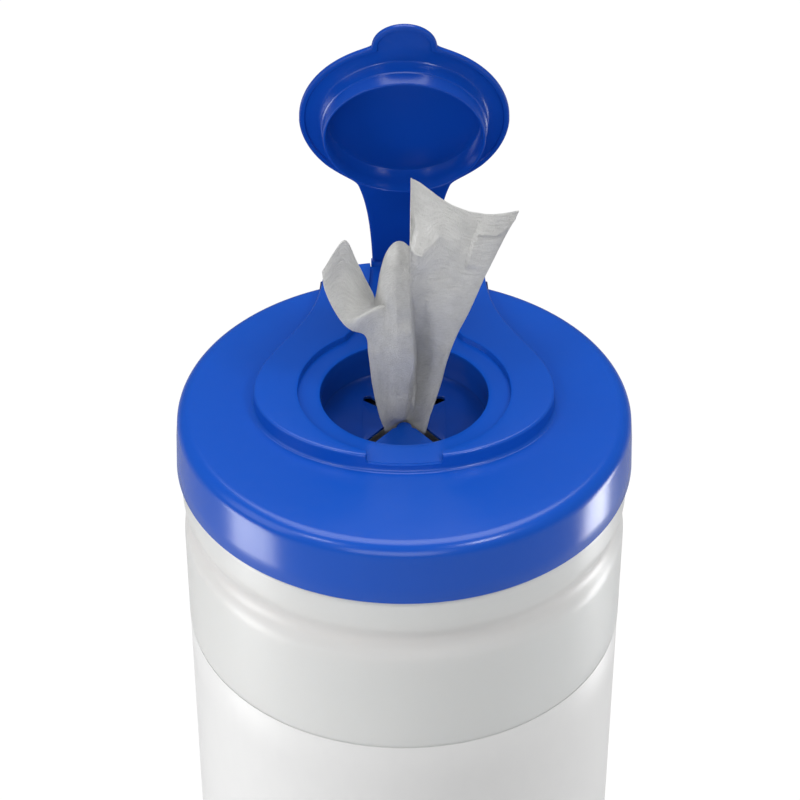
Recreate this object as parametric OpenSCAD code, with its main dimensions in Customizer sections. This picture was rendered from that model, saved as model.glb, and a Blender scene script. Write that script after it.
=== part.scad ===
// Countertop wipes dispenser: a tall canister of centre-pull wipes, its push-on
// lid with a pear-shaped plateau, a flip cap on a living hinge, and a wipe that
// stands in a four-petal orifice. Millimetres, +Z up, origin at the centre of
// the foot, the front of the lid towards -Y.

/* [Canister] */
// Radius of the body
body_r = 65.6; // [60:0.2:72]
// Wall of the blown canister
body_wall = 1.3; // [0.9:0.1:1.8]
// Height of the neck's rim above the foot
canister_h = 258; // [230:0.5:290]
// Radius of the corner between the body and the foot
foot_corner = 6; // [4:0.5:9]
// Width of the ring that the canister stands on
foot_ring = 5; // [3:0.5:8]
// Height of the pushed-up middle of the base
push_up = 5; // [3:0.5:8]
// Depth of the groove under the lid
groove_depth = 1.9; // [0.8:0.1:3]
// Half height of the groove
groove_half = 5.2; // [3:0.1:7]
// Distance from the skirt's lower edge down to the middle of the groove
groove_drop = 16.6; // [13:0.2:22]
// Gap between the canister's shoulder and the skirt's lower edge
shoulder_gap = 0.6; // [0.3:0.1:2]
// Height of the bead that snaps into the lid
bead_depth = 0.9; // [0.5:0.1:1.4]

/* [Label] */
// Depth of the panel that the label lies in
panel_depth = 0.35; // [0.2:0.05:0.6]
// Thickness of the label
label_t = 0.25; // [0.1:0.05:0.5]
// Distance from the skirt's lower edge down to the label
label_drop = 56; // [40:1:80]
// Height of the label's lower edge
label_foot = 22; // [14:1:60]

/* [Lid] */
// How far the skirt stands out past the body
skirt_proud = 1.2; // [0.6:0.1:2.5]
// Wall of the skirt
skirt_wall = 1.8; // [1.2:0.1:2.2]
// Height of the skirt below the crown
skirt_h = 19.2; // [16:0.2:26]
// Radius of the rounded edge between skirt and crown
edge_r = 4.4; // [3:0.1:6]
// Thickness of the crown, the plateau and the recess floor
lid_wall = 1.6; // [1.2:0.1:2.4]
// Height of the snap rib inside the skirt
rib_depth = 0.8; // [0.4:0.1:1.2]
// Radial clearance between the snap rib and the neck's bead
snap_gap = 0.3; // [0.2:0.05:0.5]
// Gap between the neck's rim and the crown's underside
seat_gap = 0.2; // [0.1:0.05:0.5]

/* [Plateau] */
// Height of the plateau above the crown
plateau_h = 5.2; // [4:0.1:8]
// Half width of the plateau
plateau_a = 43.6; // [40:0.2:50]
// Reach of the plateau to the front
plateau_b = 32.6; // [32.6:0.2:40]
// Half width of the plateau at the rear
plateau_neck = 24.4; // [20:0.2:28]
// Length over which the plateau narrows to the rear
plateau_sweep = 31.3; // [26:0.1:36]
// Radius of the plateau's rounded top edge
plateau_edge = 0.9; // [0.4:0.1:1.4]
// Depth of the cap's seat in the plateau
recess_depth = 1.8; // [1.4:0.1:2.6]
// Clearance of the notch on each side of the cap's tab
notch_clear = 1.4; // [0.6:0.1:2]
// Drop of the notch from the cap's seat to the plateau's front
notch_drop = 1.1; // [0.5:0.1:1.8]
// Radius of the notch's lower corners
notch_corner = 1.2; // [0.6:0.1:1.6]

/* [Well] */
// Radius of the well
well_r = 24.35; // [22:0.05:26]
// Depth of the well below the cap's seat
well_depth = 10.2; // [9:0.1:14]
// Wall of the well
well_wall = 1.4; // [1:0.1:2]
// Thickness of the well's floor
floor_t = 1.2; // [0.8:0.1:2]
// Half width of the square that the petals fill
petal_square = 12; // [10.5:0.1:14]
// Half width of the slots between the petals
slot_half = 1.3; // [1.1:0.05:1.8]
// Thickness of the petals
petal_t = 0.9; // [0.6:0.05:1.1]
// Radius of a petal's round tip
petal_tip = 2.3; // [1.8:0.1:3]
// Upward slant of the petals, in degrees
petal_rise = 12; // [4:1:20]

/* [Cap] */
// Clearance around the cap in its seat
cap_clear = 0.5; // [0.4:0.05:0.9]
// Gap under the closed cap
cap_gap = 0.15; // [0.1:0.05:0.4]
// Angle of the cap from closed, in degrees
cap_open = 73.1; // [20:0.1:150]
// Radius of the tab
tab_r = 9.2; // [6:0.1:9.4]
// Reach of the tab past the cap's disc
tab_reach = 8.7; // [6:0.1:12]
// Radius of the cap's rounded edges
cap_edge = 0.7; // [0.3:0.1:0.8]
// Height of the plug ring
plug_h = 7.75; // [5:0.05:8.5]
// Wall of the plug ring
plug_wall = 1.3; // [0.8:0.1:2]
// Radial clearance of the plug ring at its root
plug_clear = 0.35; // [0.3:0.05:0.6]
// Half width of the strap at the hinge
strap_half = 9.4; // [7:0.1:11]

/* [Hinge] */
// Distance of the hinge axis inside the skirt
hinge_in = 0.8; // [0.7:0.1:2]
// Radius of the hinge film's roll
film_r = 0.6; // [0.4:0.05:0.7]
// Clearance around moving edges
hinge_gap = 0.2; // [0.15:0.05:0.4]

/* [Wipes] */
// Space between the roll and the canister's wall
roll_clear = 7.3; // [2:0.1:20]
// Radius of the roll's hollow core
core_r = 16; // [13:0.5:24]
// Space between the roll and the well
head_room = 5.9; // [5:0.1:12]
// Clearance under the roll
roll_gap = 0.3; // [0.2:0.1:1]
// Height of the tallest corner of the wipe above the well's floor
wipe_h = 81; // [60:1:100]
// Thickness of the wipe
wipe_t = 0.7; // [0.4:0.05:0.9]
// Spread of the wipe's folds to the sides
wipe_spread = 1; // [0.85:0.01:1.1]
// Clearance between the bunched wipe and the petals
strand_clear = 0.7; // [0.4:0.05:1]
// Gap between the wipe and the bunched part under it
wipe_gap = 0.2; // [0.1:0.05:0.4]

/* [Hidden] */
$fn = 96;
eps = 0.01;

lid_blue = [0.06, 0.16, 0.66];
milk_white = [0.86, 0.86, 0.85];

lid_r = body_r + skirt_proud;
skirt_in = lid_r - skirt_wall;
rib_r = skirt_in - rib_depth;
bead_r = rib_r - snap_gap;
neck_r = bead_r - bead_depth;

under_crown = canister_h + seat_gap;
crown_z = under_crown + lid_wall;
plateau_z = crown_z + plateau_h;
seat_z = plateau_z - recess_depth;
well_z = seat_z - well_depth;
skirt_z = crown_z - skirt_h;
shoulder_z = skirt_z - shoulder_gap;
groove_z = skirt_z - groove_drop;
label_top = skirt_z - label_drop;
floor_in = push_up + body_wall * 1.2;

plateau_rear = lid_r - 1.2;
seat_r = 30.85;
cap_r = seat_r - cap_clear;
cap_t = recess_depth - cap_gap;
tab_y = seat_r - 1.4;
plug_r = well_r - plug_clear;
notch_half = tab_r + notch_clear;
notch_slope = atan(notch_drop / (plateau_b - well_r));
hinge_y = lid_r - hinge_in;
hinge_z = plateau_z;
strap_end = hinge_y - film_r - hinge_gap;

// How far the plug's front edge swings out while the cap closes
plug_swing = (pow(recess_depth + plug_h, 2) - pow(recess_depth, 2)) / (2 * (hinge_y + well_r));
plug_tip = plug_r - plug_swing - 0.05;

petal_axis = petal_square - hinge_gap - petal_t / 2;
petal_z = well_z - floor_t / 2;
petal_nose = slot_half * sqrt(2) + petal_tip * sqrt(2);

roll_r = body_r - body_wall - roll_clear;
roll_foot = floor_in + roll_gap;
roll_top = well_z - floor_t - head_room;
strand_foot = roll_foot + core_r * 0.75;
strand_r = petal_nose - petal_tip - strand_clear;
gather_t = 2 * slot_half - 2 * strand_clear - 0.2;
fold_scale = petal_square / 12;
strand_top = well_z + wipe_gap;
sheet_foot = strand_top + wipe_gap;

function arc(cx, cy, r, a0, a1, n) = [for (i = [0:n]) let (a = a0 + (a1 - a0) * i / n) [cx + r * cos(a), cy + r * sin(a)]];
function flip(pts) = [for (i = [len(pts) - 1:-1:0]) pts[i]];
function mirror_x(pts) = [for (p = pts) [-p[0], p[1]]];

// Half width of the plateau at y, with its outline drawn in by d
function plateau_half(y, d) = y <= 0
    ? (plateau_a - d) * sqrt(max(0, 1 - pow(y / (plateau_b - d), 2)))
    : plateau_neck - d + (plateau_a - plateau_neck) * exp(-pow(y / plateau_sweep, 2.15));

// Outline of the plateau, a half ellipse in front that sweeps in to the rear
function plateau_outline(d) =
    let (rear = plateau_rear - d,
         corner = acos((plateau_neck - d + (plateau_a - plateau_neck) * exp(-pow(sqrt(rear * rear - plateau_neck * plateau_neck) / plateau_sweep, 2.15))) / rear),
         y1 = rear * sin(corner))
    concat(
        [for (i = [0:30]) let (a = 180 + 6 * i) [(plateau_a - d) * cos(a), (plateau_b - d) * sin(a)]],
        [for (i = [1:17]) let (y = y1 * i / 18) [plateau_half(y, d), y]],
        arc(0, 0, rear, corner, 180 - corner, 12),
        [for (i = [17:-1:1]) let (y = y1 * i / 18) [-plateau_half(y, d), y]]);

// Half width of the strap at y, before it blends into the disc
function strap_half_at(y) = strap_half + 3.1 * exp(-(max(y, 20) - 34) / 14);

// Outline of the cap lying closed, with its edge moved in by d
function cap_half_rear(y, d) = pow(pow(sqrt(max(0, pow(cap_r - d, 2) - y * y)), 8) + pow(strap_half_at(y) - d, 8), 1 / 8);
function cap_half_front(u, d) =
    let (disc = sqrt(max(0, pow(cap_r - d, 2) - u * u)),
         tab = u > tab_y ? sqrt(max(0, 1 - pow((u - tab_y) / (cap_r + tab_reach - tab_y - d), 2))) * (tab_r - d) : tab_r - d)
    pow(pow(disc, 6) + pow(tab, 6), 1 / 6);
function cap_outline(d) =
    let (tip = cap_r + tab_reach - d,
         side = concat(
            [for (i = [0:24]) let (u = tip * cos(90 * i / 25)) [cap_half_front(u, d), -u]],
            [for (i = [0:26]) let (y = (strap_end - d) * i / 26) [cap_half_rear(y, d), y]]))
    concat(side, mirror_x(flip([for (i = [1:len(side) - 1]) side[i]])));

// A slab whose outline changes with height. Every outline mirrors about x = 0,
// and its point number mid is the frontmost one.
module layered(outlines, heights, mid) {
    n = len(outlines[0]);
    m = len(outlines);
    points = [for (k = [0:m - 1]) for (p = outlines[k]) [p[0], p[1], heights[k]]];
    sides = [for (k = [0:m - 2]) for (i = [0:n - 1])
        let (j = (i + 1) % n) each [
            [k * n + i, (k + 1) * n + i, (k + 1) * n + j],
            [k * n + i, (k + 1) * n + j, k * n + j]]];
    strips = [for (k = [0:floor(n / 2) - 1])
        let (a = (mid + k) % n, b = (a + 1) % n, c = (2 * mid - b + 2 * n) % n, d = (2 * mid - a + 2 * n) % n)
        each concat(b == c ? [] : [[a, b, c]], a == d ? [] : [[a, c, d]])];
    top = (m - 1) * n;
    polyhedron(points, concat(strips, sides, [for (f = strips) [top + f[2], top + f[1], top + f[0]]]));
}

// Radius of the canister's outside at height z
function body_at(z) = body_r
    - (z > label_foot && z < label_top ? panel_depth : 0)
    - groove_depth * exp(-pow(abs(z - groove_z) / groove_half, 2.6) * 1.6);

function body_profile(d) =
    let (r = body_r - d,
         fr = foot_corner - d,
         low = foot_corner,
         step = 0.6,
         ring = body_r - foot_corner - foot_ring)
    concat(
        [[0, push_up + d * 1.2], [ring - 12, push_up + d * 1.2]],
        [for (i = [1:6]) let (t = i / 6) [ring - 12 + 12 * t, (push_up + d * 1.2) * (1 - t * t * (3 - 2 * t)) + d * t * t * (3 - 2 * t)]],
        [for (i = [0:6]) let (a = -90 + 15 * i) [body_r - foot_corner + fr * cos(a), low + fr * sin(a)]],
        [[r, label_foot - step], [r - panel_depth, label_foot], [r - panel_depth, label_top], [r, label_top + step]],
        [for (i = [-9:9]) let (z = groove_z + groove_half * i / 5.4) [body_at(z) - d, z]]);

module canister() {
    wall = body_wall;
    color(milk_white)
    rotate_extrude() difference() {
        polygon(concat(body_profile(0),
            [[body_r, shoulder_z - 1], [body_r - 0.4, shoulder_z - 0.3], [body_r - 1.2, shoulder_z]],
            [[neck_r, shoulder_z]],
            [[neck_r, crown_z - skirt_h + 6], [bead_r, crown_z - skirt_h + 7.2], [bead_r, crown_z - skirt_h + 8], [neck_r, crown_z - skirt_h + 9.4]],
            [[neck_r, canister_h - 0.5], [neck_r - 0.5, canister_h], [0, canister_h]]));
        polygon(concat(body_profile(wall),
            [[body_r - wall, shoulder_z - wall - 1.2], [neck_r - wall, shoulder_z - wall + 0.6], [neck_r - wall, canister_h + 1], [0, canister_h + 1]]));
    }
}

module label() {
    r = body_r - panel_depth;
    color([0.93, 0.93, 0.92])
    translate([0, 0, label_foot + 0.4]) difference() {
        cylinder(r = r + label_t, h = label_top - label_foot - 0.8, $fn = 180);
        translate([0, 0, -1]) cylinder(r = r, h = label_top - label_foot + 2, $fn = 180);
    }
}

// The space that the cap and its strap lie in, widened by d
module seat(d, z0, z1) {
    translate([0, 0, z0]) {
        cylinder(r = seat_r + d, h = z1 - z0, $fn = 128);
        linear_extrude(z1 - z0) polygon(concat(
            [for (i = [0:14]) let (y = 22 + (plateau_rear + 3 - 22) * i / 14) [strap_half_at(y) + cap_clear + d + 2.2 * exp(-pow((y - 22) / 9, 2)), y]],
            [for (i = [14:-1:0]) let (y = 22 + (plateau_rear + 3 - 22) * i / 14) [-strap_half_at(y) - cap_clear - d - 2.2 * exp(-pow((y - 22) / 9, 2)), y]]));
    }
}

module plateau_solid(d, z0, z1, edge) {
    steps = edge > 0 ? [0, 22.5, 45, 67.5, 90] : [0];
    layered(concat([plateau_outline(d)], [for (a = steps) plateau_outline(d + edge * (1 - cos(a)))]),
            concat([z0], [for (a = steps) z1 - edge + edge * sin(a)]), 15);
}

// The notch for the tab, widened by d: it slopes from the well's rim down to the plateau's front
module notch(d) {
    translate([0, 0.4 - well_r, seat_z]) rotate([90 + notch_slope, 0, 0])
        linear_extrude(plateau_b - well_r + 3) polygon(concat(
            [[-notch_half - d, 12]],
            arc(notch_corner - notch_half, notch_corner, notch_corner + d, 180, 270, 6),
            arc(notch_half - notch_corner, notch_corner, notch_corner + d, 270, 360, 6),
            [[notch_half + d, 12]]));
}

module lid_shell() {
    rear_wall = [plateau_rear - lid_wall - 0.4, plateau_rear - 0.15];
    color(lid_blue)
    difference() {
        union() {
            // Skirt and crown, with the snap rib inside
            difference() {
                union() {
                    rotate_extrude($fn = 180) polygon(concat(
                        [[0, skirt_z + 0.4], [lid_r - 0.4, skirt_z], [lid_r, skirt_z + 0.4]],
                        arc(lid_r - edge_r, crown_z - edge_r, edge_r, 0, 90, 10),
                        [[0, crown_z]]));
                    plateau_solid(0, crown_z - lid_wall * 0.6, plateau_z, plateau_edge);
                    intersection() {
                        difference() {
                            translate([0, 0, crown_z - edge_r - 1]) cylinder(r = rear_wall[1], h = plateau_h + edge_r + 1 - plateau_edge - 0.6, $fn = 180);
                            translate([0, 0, crown_z - edge_r - 2]) cylinder(r = rear_wall[0], h = plateau_h + edge_r + 4, $fn = 180);
                        }
                        translate([-plateau_neck + 0.5, 0, crown_z - edge_r - 2]) cube([2 * plateau_neck - 1, lid_r, plateau_h + edge_r + 4]);
                    }
                }
                rotate_extrude($fn = 180) polygon([
                    [0, skirt_z - 1], [skirt_in, skirt_z - 1], [skirt_in, skirt_z + 3], [rib_r, skirt_z + 3.8], [rib_r, skirt_z + 4.4],
                    [skirt_in, skirt_z + 5.2], [skirt_in, under_crown - 2], [skirt_in - 2, under_crown], [0, under_crown]]);
                plateau_solid(lid_wall, under_crown - 2.7, plateau_z - lid_wall, 0);
            }
            // Tray that the cap lies in
            intersection() {
                union() {
                    seat(lid_wall, seat_z - lid_wall, plateau_z - 0.4);
                    notch(lid_wall);
                }
                plateau_solid(lid_wall / 2, under_crown + 0.3, plateau_z - 0.5, 0);
            }
            // Well
            translate([0, 0, well_z - floor_t]) cylinder(r = well_r + well_wall, h = seat_z - well_z + floor_t - 0.2, $fn = 128);
        }
        seat(0, seat_z, plateau_z + 5);
        notch(0);
        translate([0, 0, well_z]) cylinder(r = well_r, h = well_depth + 10, $fn = 128);
        translate([0, 0, well_z - floor_t - 1]) linear_extrude(floor_t + 2) petal_hole();
    }
}

// Square opening of the well's floor, with corners as round as the slots
module petal_hole() {
    c = petal_square - slot_half;
    polygon(concat(
        arc(c, c, slot_half, 0, 90, 8), arc(-c, c, slot_half, 90, 180, 8),
        arc(-c, -c, slot_half, 180, 270, 8), arc(c, -c, slot_half, 270, 360, 8)));
}

// One petal, its root along X at the front of the square
module petal() {
    edge = slot_half * sqrt(2);
    root = petal_axis - edge;
    color(lid_blue)
    translate([0, -petal_axis, petal_z]) rotate([petal_rise, 0, 0]) {
        translate([0, petal_axis, -petal_t / 2]) linear_extrude(petal_t) polygon(concat(
            [[root, -petal_axis]],
            arc(0, -petal_nose, petal_tip, 45, 135, 10),
            [[-root, -petal_axis]]));
        translate([-root, 0, 0]) rotate([0, 90, 0]) cylinder(r = petal_t / 2, h = 2 * root, $fn = 32);
    }
}

module petal_front() { petal(); }
module petal_right() { rotate(90) petal(); }
module petal_rear() { rotate(180) petal(); }
module petal_left() { rotate(270) petal(); }

// Film that joins the strap to the rear of the lid, rolled along the hinge axis
module hinge_film() {
    web = [film_r * 0.85, seat_z];
    color(lid_blue) {
        translate([-strap_half - 0.3, hinge_y, hinge_z]) rotate([0, 90, 0]) cylinder(r = film_r, h = 2 * strap_half + 0.6, $fn = 32);
        translate([-strap_half - 0.3, hinge_y - web[0], web[1]]) cube([2 * strap_half + 0.6, web[0], hinge_z - web[1] - film_r * 0.3]);
    }
}

// The cap as it lies closed, its inside downwards
module cap_closed() {
    z0 = seat_z + cap_gap;
    layered(
        concat([for (a = [0, 45, 90]) cap_outline(cap_edge * 0.6 * (1 - sin(a)))], [for (a = [0, 30, 60, 90]) cap_outline(cap_edge * (1 - cos(a)))]),
        concat([for (a = [0, 45, 90]) z0 + cap_edge * 0.6 * (1 - cos(a))], [for (a = [0, 30, 60, 90]) plateau_z - cap_edge * (1 - sin(a))]), 0);
    rotate_extrude($fn = 128) polygon([
        [plug_r - plug_wall, z0 + 0.4], [plug_r, z0 + 0.4], [plug_r, z0 - plug_h * 0.08],
        [plug_r - plug_swing * 0.35, z0 - plug_h * 0.5], [plug_r - plug_swing * 0.35 - 0.18, z0 - plug_h * 0.54],
        [plug_tip, z0 - plug_h + 0.5], [plug_tip - 0.45, z0 - plug_h], [plug_tip - 0.85, z0 - plug_h], [plug_tip - plug_wall, z0 - plug_h + 0.5]]);
}

module flip_cap() {
    color(lid_blue)
    translate([0, hinge_y, hinge_z]) rotate([-cap_open, 0, 0]) translate([0, -hinge_y, -hinge_z])
        cap_closed();
}

module wipe_roll() {
    color([0.9, 0.9, 0.88])
    rotate_extrude() polygon(concat(
        [[core_r, roll_foot + 1.5], [core_r + 1.5, roll_foot]],
        arc(roll_r - 3, roll_foot + 3, 3, -90, 0, 5),
        arc(roll_r - 3, roll_top - 3, 3, 0, 90, 5),
        [[core_r + 5, roll_top], [core_r + 1.5, roll_top - 1.2], [core_r, roll_top - 4.5]]));
}

// The bunched wipe under the orifice: a core in the middle and two gathers that lie in the front slots
module wipe_strand() {
    color([0.85, 0.85, 0.83])
    translate([0, 0, strand_foot]) {
        cylinder(r = strand_r, h = strand_top - strand_foot, $fn = 48);
        for (g = [[-135, 0.66], [-45, 0.74]])
            rotate(g[0]) translate([0, -gather_t / 2, 0]) cube([g[1] * petal_square, gather_t, strand_top - strand_foot]);
    }
}

// The wipe that stands above the orifice. Each column is a curve from the
// orifice to the free edge: foot, lower pull, upper pull and top, as
// [across, back, height] with the height as a share of the tallest corner.
columns = [
    [[-5.4, -5.7, 0], [-9.5, -8.0, 0.13], [-11.0, -9.0, 0.30], [-13.5, -12.0, 0.36]],
    [[-5.0, -5.3, 0], [-9.0, -7.6, 0.14], [-12.5, -10.0, 0.30], [-24.0, -11.5, 0.52]],
    [[-4.2, -4.4, 0], [-7.6, -6.8, 0.15], [-12.0, -8.0, 0.38], [-17.0, -6.0, 0.74]],
    [[-3.2, -3.3, 0], [-6.2, -6.2, 0.15], [-9.6, -5.6, 0.36], [-8.8, -3.0, 0.56]],
    [[-2.2, -2.2, 0], [-3.6, -6.0, 0.16], [-5.8, -7.5, 0.45], [-4.8, -4.2, 0.74]],
    [[-1.0, -1.1, 0], [-0.8, -4.2, 0.17], [-1.2, -7.0, 0.45], [-0.6, -5.0, 0.75]],
    [[0.2, -0.4, 0], [2.0, -1.2, 0.18], [2.6, -2.0, 0.50], [2.6, -2.4, 0.99]],
    [[1.6, -1.7, 0], [3.2, 1.2, 0.18], [4.4, 3.4, 0.45], [8.0, 1.6, 0.93]],
    [[3.0, -3.1, 0], [5.6, -1.5, 0.18], [7.4, 2.0, 0.42], [15.0, 3.4, 0.865]],
    [[4.6, -4.8, 0], [8.4, -5.2, 0.18], [11.0, -1.6, 0.40], [24.0, 1.0, 0.855]],
    [[6.1, -6.4, 0], [10.6, -7.4, 0.18], [13.0, -4.4, 0.44], [31.4, -3.0, 0.868]]];

function curve(c, t) = let (u = 1 - t, p = u * u * u * c[0] + 3 * u * u * t * c[1] + 3 * u * t * t * c[2] + t * t * t * c[3]) [p[0] * fold_scale * (1 + (wipe_spread - 1) * t), p[1] * fold_scale, sheet_foot + p[2] * (wipe_h + well_z - sheet_foot)];
function spline(a, b, c, d, t) = 0.5 * (2 * b + (c - a) * t + (2 * a - 5 * b + 4 * c - d) * t * t + (3 * b - a - 3 * c + d) * t * t * t);
function sheet_at(s, t) =
    let (last = len(columns) - 1, k = min(last - 1, floor(s * last)), f = s * last - k,
         p = [for (j = [-1:2]) curve(columns[max(0, min(last, k + j))], t)])
    spline(p[0], p[1], p[2], p[3], f);
function sheet_normal(s, t) =
    let (h = 0.01,
         a = sheet_at(min(1, s + h), t) - sheet_at(max(0, s - h), t),
         b = sheet_at(s, min(1, t + h)) - sheet_at(s, max(0, t - h)),
         c = cross(a, b))
    c / norm(c);

module wipe_sheet() {
    ns = 34;
    nt = 15;
    half = wipe_t / 2;
    front = [for (i = [0:ns]) for (j = [0:nt]) sheet_at(i / ns, j / nt) + half * sheet_normal(i / ns, j / nt)];
    back = [for (i = [0:ns]) for (j = [0:nt]) sheet_at(i / ns, j / nt) - half * sheet_normal(i / ns, j / nt)];
    m = nt + 1;
    q = (ns + 1) * m;
    faces = concat(
        [for (i = [0:ns - 1]) for (j = [0:nt - 1]) let (a = i * m + j, b = a + m) each [[a, a + 1, b + 1], [a, b + 1, b]]],
        [for (i = [0:ns - 1]) for (j = [0:nt - 1]) let (a = q + i * m + j, b = a + m) each [[a, b + 1, a + 1], [a, b, b + 1]]],
        [for (i = [0:ns - 1]) let (a = i * m, b = a + m) each [[a, b, q + b], [a, q + b, q + a]]],
        [for (i = [0:ns - 1]) let (a = i * m + nt, b = a + m) each [[a, q + b, b], [a, q + a, q + b]]],
        [for (j = [0:nt - 1]) let (a = j, b = a + 1) each [[a, q + b, b], [a, q + a, q + b]]],
        [for (j = [0:nt - 1]) let (a = ns * m + j, b = a + 1) each [[a, b, q + b], [a, q + b, q + a]]]);
    color([0.82, 0.82, 0.8]) polyhedron(concat(front, back), faces);
}

canister();
label();
lid_shell();
hinge_film();
flip_cap();
petal_front();
petal_rear();
petal_left();
petal_right();
wipe_roll();
wipe_strand();
wipe_sheet();
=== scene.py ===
import math

import bpy
import numpy as np
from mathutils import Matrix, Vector, noise


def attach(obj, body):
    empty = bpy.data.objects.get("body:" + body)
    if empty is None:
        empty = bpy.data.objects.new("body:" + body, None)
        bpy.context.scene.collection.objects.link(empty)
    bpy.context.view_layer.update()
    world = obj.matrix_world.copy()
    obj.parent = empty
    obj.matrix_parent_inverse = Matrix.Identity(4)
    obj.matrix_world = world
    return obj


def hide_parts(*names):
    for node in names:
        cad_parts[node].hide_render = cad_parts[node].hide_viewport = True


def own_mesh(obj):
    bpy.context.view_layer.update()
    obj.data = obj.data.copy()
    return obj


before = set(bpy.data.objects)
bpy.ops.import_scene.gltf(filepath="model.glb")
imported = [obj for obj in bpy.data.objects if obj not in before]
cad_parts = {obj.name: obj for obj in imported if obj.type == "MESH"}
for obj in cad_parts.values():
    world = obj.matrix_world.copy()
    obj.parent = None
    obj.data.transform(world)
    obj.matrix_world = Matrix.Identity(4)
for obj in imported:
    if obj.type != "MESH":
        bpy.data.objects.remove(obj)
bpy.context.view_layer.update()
mm = 0.001
print("frame loaded")

# The camera stands in front, looking 37 degrees down at the lid.
picture = {
    "lens": 118.04, "sensor": 36, "place": (-1.22, -606.6, 719.8), "down": 37.13,
    "pixels": 2623.0, "middle": 400, "corner": (300, 160),
}
bpy.ops.object.select_all(action="DESELECT")
bpy.ops.object.camera_add(
    location=[v * mm for v in picture["place"]], rotation=(math.radians(90 - picture["down"]), 0, 0)
)
camera = bpy.context.object
camera.data.lens = picture["lens"]
camera.data.sensor_width = picture["sensor"]
camera.data.clip_start = 0.01
camera.data.clip_end = 20
bpy.context.scene.camera = camera


# A value on its way through the nodes of one material.
class Wire:
    def __init__(self, finish, socket):
        self.finish = finish
        self.socket = socket

    def combine(self, work, first, second=0.0):
        return self.finish.node("ShaderNodeMath", {"operation": work}, {0: first, 1: second})

    def __add__(self, other):
        return self.combine("ADD", self, other)

    def __radd__(self, other):
        return self.combine("ADD", other, self)

    def __sub__(self, other):
        return self.combine("SUBTRACT", self, other)

    def __rsub__(self, other):
        return self.combine("SUBTRACT", other, self)

    def __mul__(self, other):
        return self.combine("MULTIPLY", self, other)

    def __rmul__(self, other):
        return self.combine("MULTIPLY", other, self)

    def __truediv__(self, other):
        return self.combine("DIVIDE", self, other)

    def __pow__(self, other):
        return self.combine("POWER", self, other)


# One material, made node by node.
class Finish:
    def __init__(self, name):
        self.material = bpy.data.materials.new(name)
        self.material.use_nodes = True
        self.nodes = self.material.node_tree.nodes
        self.shader = self.nodes["Principled BSDF"]

    def node(self, kind, settings=None, values=None, out=0):
        made = self.nodes.new(kind)
        for name, value in (settings or {}).items():
            if name == "stops":
                ramp = made.color_ramp
                while len(ramp.elements) < len(value):
                    ramp.elements.new(0.5)
                for element, (place, grey) in zip(ramp.elements, value):
                    element.position = place
                    element.color = (grey, grey, grey, 1)
            else:
                setattr(made, name, value)
        for name, value in (values or {}).items():
            self.feed(made.inputs[name], value)
        return Wire(self, made.outputs[out])

    def feed(self, socket, value):
        if isinstance(value, Wire):
            self.material.node_tree.links.new(value.socket, socket)
        else:
            socket.default_value = value

    def shine(self, **values):
        for name, value in values.items():
            self.feed(self.shader.inputs[name.replace("_", " ")], value)

    def place(self):
        return self.node("ShaderNodeTexCoord", out=3)  # Object coordinates

    def sheetPlace(self):
        return self.node("ShaderNodeTexCoord", out=2)  # the piece's own UV map

    def axis(self, vector, letter):
        return self.node("ShaderNodeSeparateXYZ", {}, {0: vector}, "xyz".index(letter))

    def stretch(self, vector, scale):
        return self.node("ShaderNodeMapping", {}, {"Vector": vector, "Scale": scale})

    def grain(self, vector, scale, detail=2.0, rough=0.5):
        values = {"Vector": vector, "Scale": scale, "Detail": detail, "Roughness": rough}
        return self.node("ShaderNodeTexNoise", {}, values)

    def between(self, share, first, second):
        low, high = [c if isinstance(c, Wire) else (*c, 1) for c in (first, second)]
        return self.node("ShaderNodeMix", {"data_type": "RGBA"}, {0: share, 6: low, 7: high}, 2)

    def ramp(self, value, stops):
        return self.node("ShaderNodeValToRGB", {"stops": stops}, {"Fac": value})

    def bump(self, height, strength, distance):
        values = {"Height": height, "Strength": strength, "Distance": distance}
        return self.node("ShaderNodeBump", {}, values)


def deselectAll():
    if bpy.context.mode != "OBJECT":
        bpy.ops.object.mode_set(mode="OBJECT")
    bpy.ops.object.select_all(action="DESELECT")


# A grid primitive laid over rows of points in millimetres, its seam and poles welded.
def layRows(name, rows, finish, body, crisp=35):
    deselectAll()
    wide, tall = len(rows[0]) - 1, len(rows) - 1
    bpy.ops.mesh.primitive_grid_add(x_subdivisions=wide, y_subdivisions=tall, size=1)
    piece = bpy.context.object
    piece.name = name
    piece.data.name = name
    piece.data.vertices.foreach_set("co", [c * mm for row in rows for point in row for c in point])
    piece.data.update()
    bpy.ops.object.mode_set(mode="EDIT")
    bpy.ops.mesh.select_all(action="SELECT")
    bpy.ops.mesh.remove_doubles(threshold=0.002 * mm)
    bpy.ops.mesh.normals_make_consistent(inside=False)
    bpy.ops.object.mode_set(mode="OBJECT")
    bpy.ops.object.shade_smooth_by_angle(angle=math.radians(crisp))
    piece.data.materials.clear()
    piece.data.materials.append(finish.material)
    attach(piece, body)
    return piece


# Rows of a shape turned about the upright axis, from (radius, height) pairs.
def turned(profile, steps=256):
    turns = [2 * math.pi * (i % steps) / steps for i in range(steps + 1)]
    return [[(r * math.cos(a), r * math.sin(a), z) for a in turns] for r, z in profile]


# Rows of a closed shape whose profile changes with the turn, counted from the front.
def around(profileAt, turns):
    columns = [(turn, profileAt(abs(turn))) for turn in turns]
    columns.append(columns[0])
    rows = []
    for k in range(len(columns[0][1])):
        ring = [(turn, *column[k]) for turn, column in columns]
        rows.append([(r * math.sin(turn), -r * math.cos(turn), z) for turn, r, z in ring])
    return rows


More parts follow.
